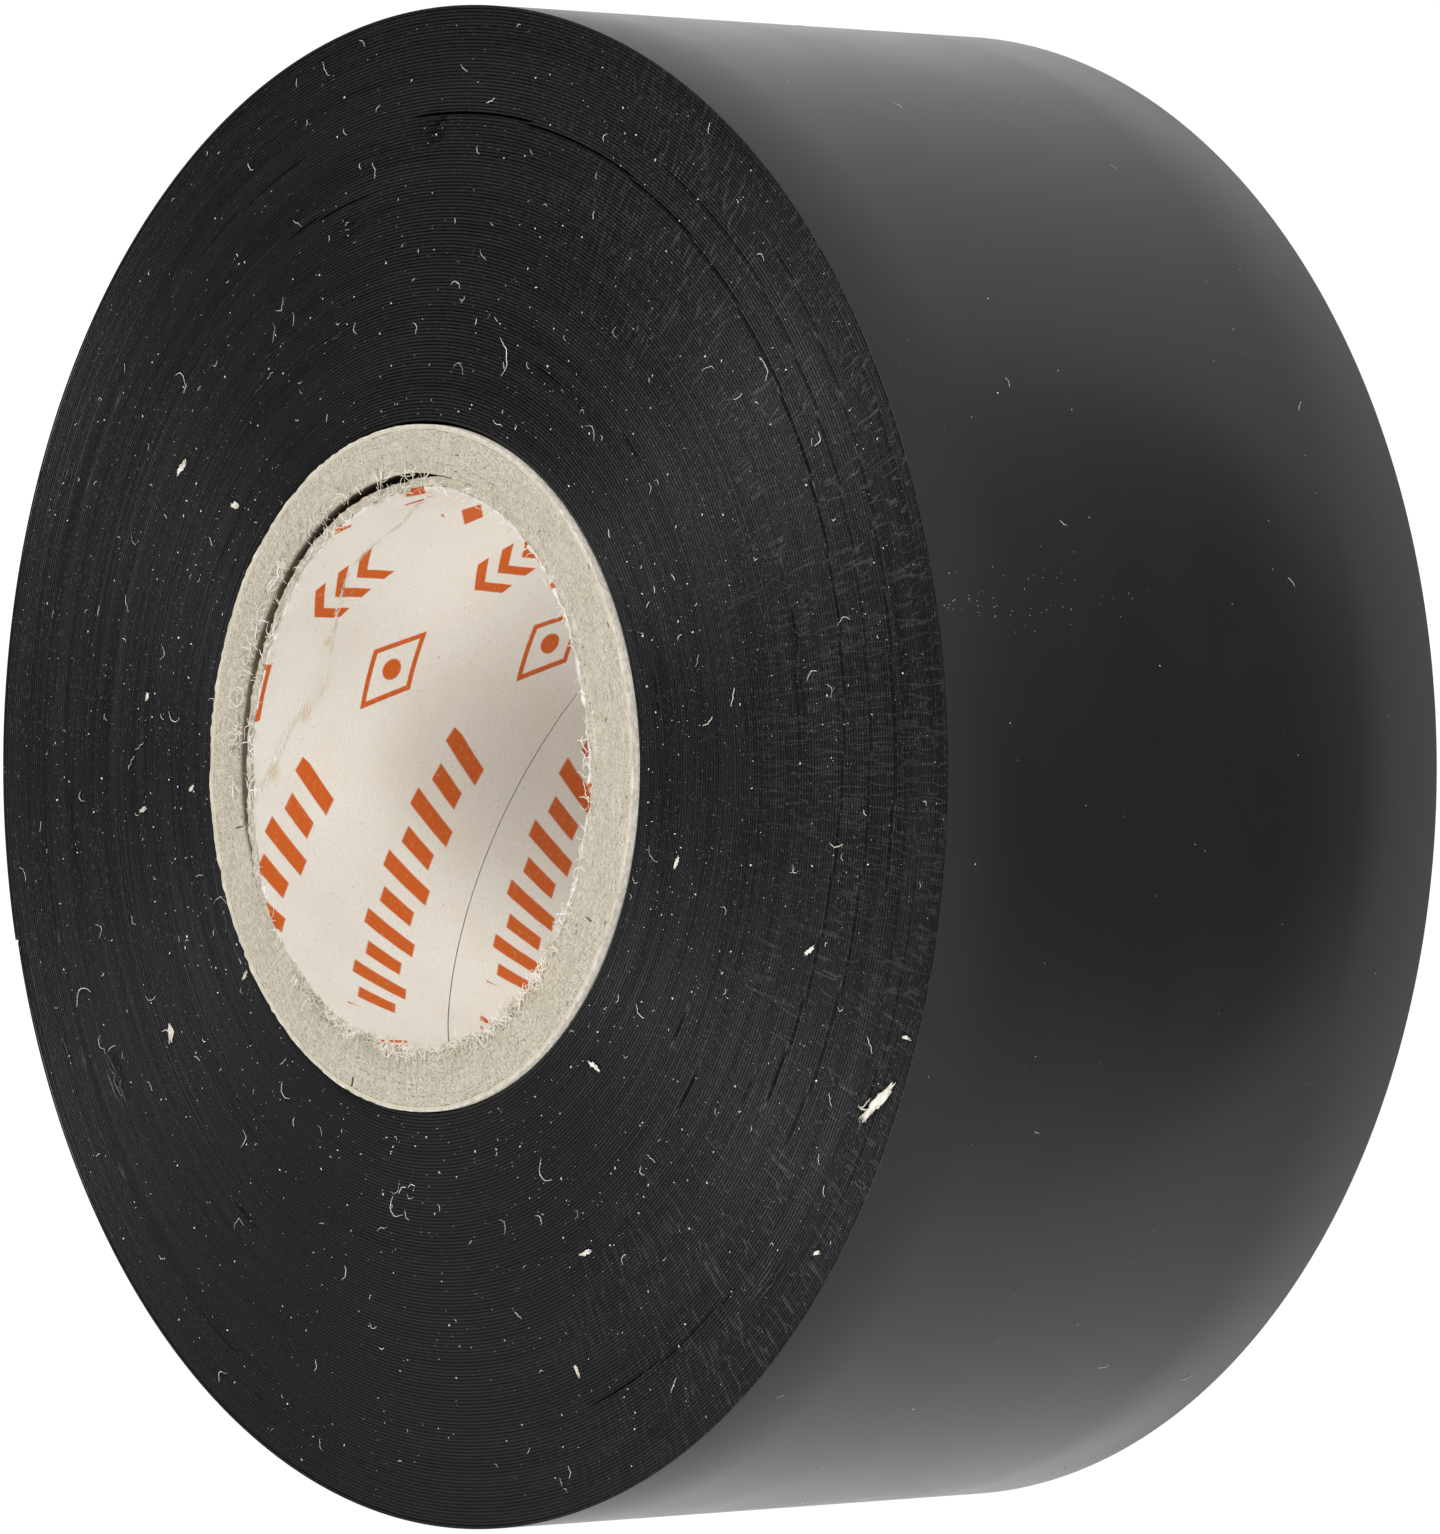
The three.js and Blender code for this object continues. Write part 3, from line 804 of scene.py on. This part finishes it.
# Lays the liner's print out in millimetres along and across its strip
def mapStrip(bm):
    layer = bm.loops.layers.uv.new("strip")
    lowest = -15.0  # the plain edge of the print, out of the way of the rows
    width = core["lead"] * linerUp
    length = 2 * pi * boreRadius * linerUp
    for face in bm.faces:
        centre = face.calc_center_median()
        faceAngle = degrees(atan2(centre.y, centre.x))
        faceAcross = -radians(faceAngle - 90) * boreRadius * linerRound + centre.z * linerUp
        wraps = -floor((faceAcross - lowest) / width)
        for loop in face.loops:
            co = loop.vert.co
            angle = faceAngle + turnedAngle(degrees(atan2(co.y, co.x)) - faceAngle)
            arc = radians(angle - 90) * boreRadius
            along = arc * linerUp + co.z * linerRound - wraps * length
            across = -arc * linerRound + co.z * linerUp + wraps * width
            loop[layer].uv = (along, across)


rollPly("printed_liner", boreRadius, linerRadius, core["linerSeam"] + 360 * coreBottom / core["lead"], 0.1,
        linerLook, "core_printed_liner", loose=1.0, ragged=0.1)
rollPly("inner_ply", linerRadius + core["glueLine"], innerPlyRadius, core["linerSeam"] + core["stagger"],
        0.12, boardLook, "core_inner_ply", loose=0.95, ragged=0.09)
previous = innerPlyRadius
for number in range(1, 5):
    node = f"core_board_ply_{number}"
    outside = outerRadius(node)
    rollPly(f"board_ply_{number}", previous + core["glueLine"], outside,
            core["linerSeam"] + core["stagger"] * (number + 1), 0.12, boardLook, node,
            ragged=0.05, loose=0.93 if number == 1 else 0.0, fills=number == 1)
    previous = outside
rollPly("outer_wrap", previous + core["glueLine"], coreRadius, core["linerSeam"] + core["stagger"] * 6, 0.08,
        wrapLook, "core_outer_wrap", ragged=0.05, proud=0.02)
print("core rolled")


# Paper dust and flakes

dust = {
    "seed": 11,
    "faceSpecks": 2400,
    "rimSpecks": 220,
    "faceFibres": 230,
    "rimFibres": 24,
    "rubbedSpecks": 60,
    "coreFuzz": 760,
    "creaseFuzz": 150,
    "flakes": [  # angle, radius, length, width, heading of the long side, lift
        (-115.5, 34.5, 2.3, 0.5, 62, 0.14), (-110, 35.05, 0.5, 0.16, 10, 0.1),
        (-153, 25.0, 0.8, 0.22, 80, 0.2), (-160, 29.6, 0.6, 0.18, 15, 0.1),
        (-107, 28.1, 0.6, 0.22, 40, 0.15), (-103, 19.1, 0.5, 0.2, 70, 0.1),
        (-137, 18.7, 0.8, 0.2, 20, 0.25), (-129, 34.5, 0.4, 0.2, 50, 0.1),
        (53, 24.4, 0.9, 0.35, 75, 0.15), (49, 19.3, 0.6, 0.3, 30, 0.2),
        (122, 24.3, 0.8, 0.35, 60, 0.15), (95, 22.7, 0.5, 0.22, 15, 0.15),
        (81, 22.5, 0.4, 0.2, 80, 0.1), (93, 18.1, 0.4, 0.2, 35, 0.1), (126, 16.9, 0.5, 0.2, 10, 0.15)],
    "fibres": [  # angle, radius, length, heading, bend
        (-155, 20.7, 1.3, 20, 1.5), (-82, 22.5, 0.9, 65, 0.2), (-18, 20.1, 1.8, 30, 1.0),
        (-53, 29.8, 1.2, 80, 0.8), (111, 30.8, 1.4, 10, 1.6), (173, 21.0, 1.1, 45, 2.4),
        (145, 18.9, 1.0, 70, 1.2), (-84.5, 20.8, 0.8, 25, 0.4), (-97, 28.9, 0.9, 5, 0.6),
        (-62, 31.0, 0.7, 40, 1.2), (-116.7, 33.8, 0.9, 30, 1.2), (-117, 34.0, 0.7, 80, -1.0),
        (-116.4, 33.7, 0.8, 60, 0.6), (-116.9, 33.6, 0.6, 10, 0.5)],
}
chance = random.Random(dust["seed"])


def templateMesh(build):
    bm = bmesh.new()
    build(bm)
    mesh = bpy.data.meshes.new("template")
    bm.to_mesh(mesh)
    bm.free()
    return mesh


def buildSpeck(bm):
    bmesh.ops.create_icosphere(bm, subdivisions=1, radius=0.5)


def buildFibre(bm):
    bmesh.ops.create_cone(bm, cap_ends=True, cap_tris=False, segments=4, radius1=0.5, radius2=0.5, depth=1)
    longEdges = [edge for edge in bm.edges if abs(edge.verts[0].co.z - edge.verts[1].co.z) > 0.5]
    bmesh.ops.subdivide_edges(bm, edges=longEdges, cuts=7)


speckTemplate = templateMesh(buildSpeck)
fibreTemplate = templateMesh(buildFibre)


# Joins many small shapes into one piece. Each part is a template mesh and a function that places a point
def scatterPiece(name, parts, material):
    made = []
    for template, place in parts:
        mesh = template.copy()
        for vert in mesh.vertices:
            vert.co = place(vert.co) * mm
        part = bpy.data.objects.new(name, mesh)
        bpy.context.scene.collection.objects.link(part)
        made.append(part)
    first = made[0]
    with bpy.context.temp_override(active_object=first, selected_editable_objects=made):
        bpy.ops.object.join()
    first.data.materials.append(material)
    first.data.shade_smooth()
    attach(first, "roll")
    return first


# A place on the front face: its point and the directions outwards, round and up
def onFace(angle, radius):
    heading = Vector((cos(radians(angle)), sin(radians(angle)), 0))
    point = heading * radius
    point.z = tapeWidth + riseAt(radius)
    return point, heading, Vector((-heading.y, heading.x, 0)), Vector((0, 0, 1))


def onRim(angle, height):
    heading = Vector((cos(radians(angle)), sin(radians(angle)), 0))
    lag = (endAngle - angle) % 360 / 360 * film["pitch"]
    point = heading * (rollRadius - lag)
    point.z = height
    return point, Vector((0, 0, 1)), Vector((-heading.y, heading.x, 0)), heading


def specks(spot, size):
    point, outward, sideways, up = spot
    long = size * chance.uniform(0.8, 1.6)
    wide = size * chance.uniform(0.5, 1)
    high = size * chance.uniform(0.3, 0.6)
    turn = chance.uniform(0, pi)
    u = outward * cos(turn) + sideways * sin(turn)
    v = sideways * cos(turn) - outward * sin(turn)
    seed = chance.uniform(0, 90)

    def place(co):
        lump = 1 + 0.7 * noise.noise(co * 3 + Vector((seed, 0, 0)))
        return (point + u * co.x * long * lump + v * co.y * wide * lump
                + up * (co.z * high * lump + high * 0.3))
    return speckTemplate, place


def fibre(spot, length, width, turn, bend, lift=0.06):
    point, outward, sideways, up = spot
    u = outward * cos(turn) + sideways * sin(turn)
    v = sideways * cos(turn) - outward * sin(turn)
    seed = chance.uniform(0, 90)

    def place(co):
        s = co.z  # from -0.5 to 0.5 along the fibre
        sway = bend * (s * s - 0.08) + 0.12 * noise.noise(Vector((s * 4, seed, 0)))
        rise = lift * (1 + noise.noise(Vector((s * 3, seed, 9)))) * length
        thin = width * (1 - 1.1 * s * s)
        along = u * s + v * sway
        return point + along * length + v * co.x * thin + up * (co.y * thin * 0.6 + width * 0.5 + rise)
    return fibreTemplate, place


# Dust lies thickest near the core
def anyRadius():
    near = coreRadius + 0.4
    return near + (rollRadius - 0.6 - near) * chance.random() ** 1.15


def scatterDust():
    parts = []
    for _ in range(dust["faceSpecks"]):
        spot = onFace(chance.uniform(-180, 180), anyRadius())
        parts.append(specks(spot, chance.choice((0.03, 0.03, 0.035, 0.04, 0.05, 0.06, 0.1))))
    for _ in range(dust["rimSpecks"]):
        spot = onRim(chance.uniform(-178, 178), chance.uniform(1, 29))
        parts.append(specks(spot, chance.choice((0.025, 0.03, 0.04, 0.06))))
    for _ in range(dust["rubbedSpecks"]):  # a band of dust rubbed on to the rim beside the front edge
        spot = onRim(chance.gauss(-78, 1.3), 30 - abs(chance.gauss(0, 6)) - 0.4)
        parts.append(specks(spot, 0.035))
    scatterPiece("dust_specks", parts, dustLook)
    parts = []
    for angle, radius, length, heading, bend in dust["fibres"]:
        parts.append(fibre(onFace(angle, radius), length, 0.055, radians(heading), bend))
    for _ in range(dust["faceFibres"]):
        spot = onFace(chance.uniform(-180, 180), anyRadius())
        length = chance.uniform(0.15, 0.35) + 0.7 * chance.random() ** 3
        width = chance.uniform(0.02, 0.045)
        parts.append(fibre(spot, length, width, chance.uniform(0, pi), chance.uniform(-2, 2)))
    for _ in range(dust["rimFibres"]):
        spot = onRim(chance.uniform(-175, 175), chance.uniform(2, 29))
        length = chance.uniform(0.3, 0.7)
        parts.append(fibre(spot, length, 0.025, chance.uniform(0, pi), chance.uniform(-1, 1), 0.01))
    scatterPiece("dust_fibres", parts, dustLook)
    parts = []
    for order in range(dust["coreFuzz"]):  # torn fibre on the front edges of the liner and the board wall
        angles = (chance.gauss(-150, 14), chance.gauss(160, 14), chance.uniform(-5, 95),
                  chance.uniform(-180, 180))
        angle = angles[order % 4]
        radius = boreRadius - looseness(angle, coreTop) + chance.uniform(-0.04, 0.3)
        if order % 4 == 2 and order % 3:
            radius = innerPlyRadius + chance.uniform(-0.1, 0.15)  # hairs over the gap beside the board
        point, outward, sideways, up = onFace(angle, radius)
        point.z = coreTop + 0.01
        spot = (point, outward, sideways, up)
        length = chance.uniform(0.3, 1.3)
        width = chance.uniform(0.03, 0.075)
        parts.append(fibre(spot, length, width, chance.uniform(0, pi), chance.uniform(-2, 2), 0.2))
    for order in range(dust["creaseFuzz"]):  # the torn lip along the liner's crease
        share = order / (dust["creaseFuzz"] - 1)
        first, last = core["crease"][0][0], core["crease"][-1][0]
        angle = first + (last - first) * share
        height = onLine(core["crease"], angle) + chance.uniform(-0.06, 0.06)
        heading = Vector((cos(radians(angle)), sin(radians(angle)), 0))
        point = heading * (boreRadius - looseness(angle, height) - 0.01)
        point.z = min(height, coreTop)
        spot = (point, Vector((0, 0, 1)), Vector((-heading.y, heading.x, 0)), -heading)
        parts.append(fibre(spot, chance.uniform(0.3, 0.8), chance.uniform(0.02, 0.045),
                           pi / 2 + chance.uniform(-0.5, 0.5), chance.uniform(-0.6, 0.6), 0.02))
    scatterPiece("core_fuzz", parts, dustLook)


# Torn chips of liner paper, curled and lying on the turns
def makeFlakes():
    bm = bmesh.new()
    for order, (angle, radius, length, width, heading, lift) in enumerate(dust["flakes"]):
        point, outward, sideways, up = onFace(angle, radius)
        turn = radians(heading)
        u = outward * cos(turn) + sideways * sin(turn)
        v = sideways * cos(turn) - outward * sin(turn)
        made = bmesh.ops.create_grid(bm, x_segments=12, y_segments=6, size=0.5)
        for vert in made["verts"]:
            x, y = vert.co.x, vert.co.y
            torn = 1 + 0.7 * noise.noise(Vector((x * 7, y * 7, order * 3.7)))
            narrow = max(0.25, 1 - 1.4 * abs(x) ** 1.5) * torn
            curl = lift * (x * x * 2 + 0.4 * noise.noise(Vector((x * 3, y * 3, order))) + 0.3)
            vert.co = (point + u * x * length * torn + v * y * width * narrow
                       + up * (abs(curl) * length * 0.6 + 0.02))
        sheet = list({face for vert in made["verts"] for face in vert.link_faces})
        raised = bmesh.ops.extrude_face_region(bm, geom=sheet)["geom"]
        raised = [item for item in raised if isinstance(item, bmesh.types.BMVert)]
        bmesh.ops.translate(bm, vec=up * 0.03, verts=raised)
    smoothFaces(bm)
    piece = finishPiece(bm, "paper_flakes", [dustLook])
    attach(piece, "roll")


scatterDust()
makeFlakes()
print("dust scattered")


# Floor, lights and camera

studio = {
    "floor": 1.6,
    "below": -0.00005,  # a hair under the roll, so that the two never share a plane
    "glow": 0.94,
    "shade": 0.2,  # a soft shade painted into the floor's glow before the roll, which its rim mirrors
    "shadeStart": (-0.043, -0.037),  # full and none, in metres along Y
    "shadeScale": (17, 11, 1),  # one over its reach each way, in metres
    "boxPower": 2.7,
    "boxSize": 0.26,
    "boxDistance": 0.6,
    "boxAim": (0.65, -0.45, 0.62),
    "skyline": (0.02, 0.4),
    "world": (0.7, 0.14),  # white low round the horizon, dim above
    "lens": 211,
    "roll": -90.2,
    "place": (0, -0.33213, 0.29078),
    "target": (0, 0, 0.01318),
}


def makeStudio():
    bm = bmesh.new()
    bmesh.ops.create_grid(bm, x_segments=1, y_segments=1, size=studio["floor"])
    bmesh.ops.translate(bm, verts=bm.verts[:], vec=(0, 0, studio["below"]))
    mesh = bpy.data.meshes.new("floor")
    bm.to_mesh(mesh)
    bm.free()
    floorPiece = bpy.data.objects.new("floor", mesh)
    bpy.context.scene.collection.objects.link(floorPiece)
    material, tree, shader = startMaterial("paleFloor", roughness=0.9, specular=0.1)
    place = addNode(tree, "TexCoord").outputs["Object"]
    parts = addNode(tree, "SeparateXYZ", (place,))
    # painted shade: the floor's glow is dimmed before the roll, so that its rim mirrors a darker floor
    before = addNode(tree, "MapRange", (parts.outputs["Y"], *studio["shadeStart"], 0.0, 1.0),
                     interpolation_type="SMOOTHSTEP")
    fromEdge = addNode(tree, "VectorMath", (place, (0, studio["shadeStart"][1], 0)), operation="SUBTRACT")
    fromEdge = addNode(tree, "VectorMath", (fromEdge, studio["shadeScale"]), operation="MULTIPLY")
    reach = addNode(tree, "VectorMath", (fromEdge,), operation="LENGTH").outputs["Value"]
    away = addNode(tree, "MapRange", (reach, 0.25, 1.0, 0.0, 1.0), interpolation_type="SMOOTHSTEP")
    tone = addNode(tree, "Math", (before, away), operation="MAXIMUM")
    tone = addNode(tree, "MapRange", (tone, 0.0, 1.0, studio["shade"], 1.0))
    shader.inputs["Base Color"].default_value = srgb("#6c6c6c")
    tree.links.new(tone.outputs[0], shader.inputs["Emission Color"])
    shader.inputs["Emission Strength"].default_value = studio["glow"]
    mesh.materials.append(material)
    world = bpy.data.worlds.new("studio")
    world.use_nodes = True
    tree = world.node_tree
    background = tree.nodes["Background"]
    background.inputs["Color"].default_value = (1, 1, 1, 1)
    place = addNode(tree, "TexCoord").outputs["Generated"]
    sky = addNode(tree, "SeparateXYZ", (place,))
    level = addNode(tree, "MapRange", (sky.outputs["Z"], *studio["skyline"], *studio["world"]),
                    interpolation_type="SMOOTHSTEP")
    tree.links.new(level.outputs[0], background.inputs["Strength"])
    bpy.context.scene.world = world
    for side in (-1, 1):
        light = bpy.data.lights.new(f"softbox_{'left' if side < 0 else 'right'}", "AREA")
        light.shape = "SQUARE"
        light.size = studio["boxSize"]
        light.energy = studio["boxPower"]
        lamp = bpy.data.objects.new(light.name, light)
        away = Vector(studio["boxAim"]).normalized()
        away.x *= side
        lamp.location = away * studio["boxDistance"]
        lamp.rotation_mode = "QUATERNION"
        lamp.rotation_quaternion = away.to_track_quat("Z", "Y")
        bpy.context.scene.collection.objects.link(lamp)


def makeCamera():
    camera = bpy.data.cameras.new("camera")
    camera.lens = studio["lens"]
    camera.clip_start, camera.clip_end = 0.01, 10
    body = bpy.data.objects.new("camera", camera)
    body.location = studio["place"]
    back = (Vector(studio["place"]) - Vector(studio["target"])).normalized()
    body.rotation_mode = "QUATERNION"
    level = (-back).to_track_quat("-Z", "Y")
    body.rotation_quaternion = level @ Quaternion((0, 0, 1), radians(studio["roll"]))
    bpy.context.scene.collection.objects.link(body)
    bpy.context.scene.camera = body


makeStudio()
makeCamera()
bpy.context.scene.view_settings.view_transform = "Standard"
print("studio set")
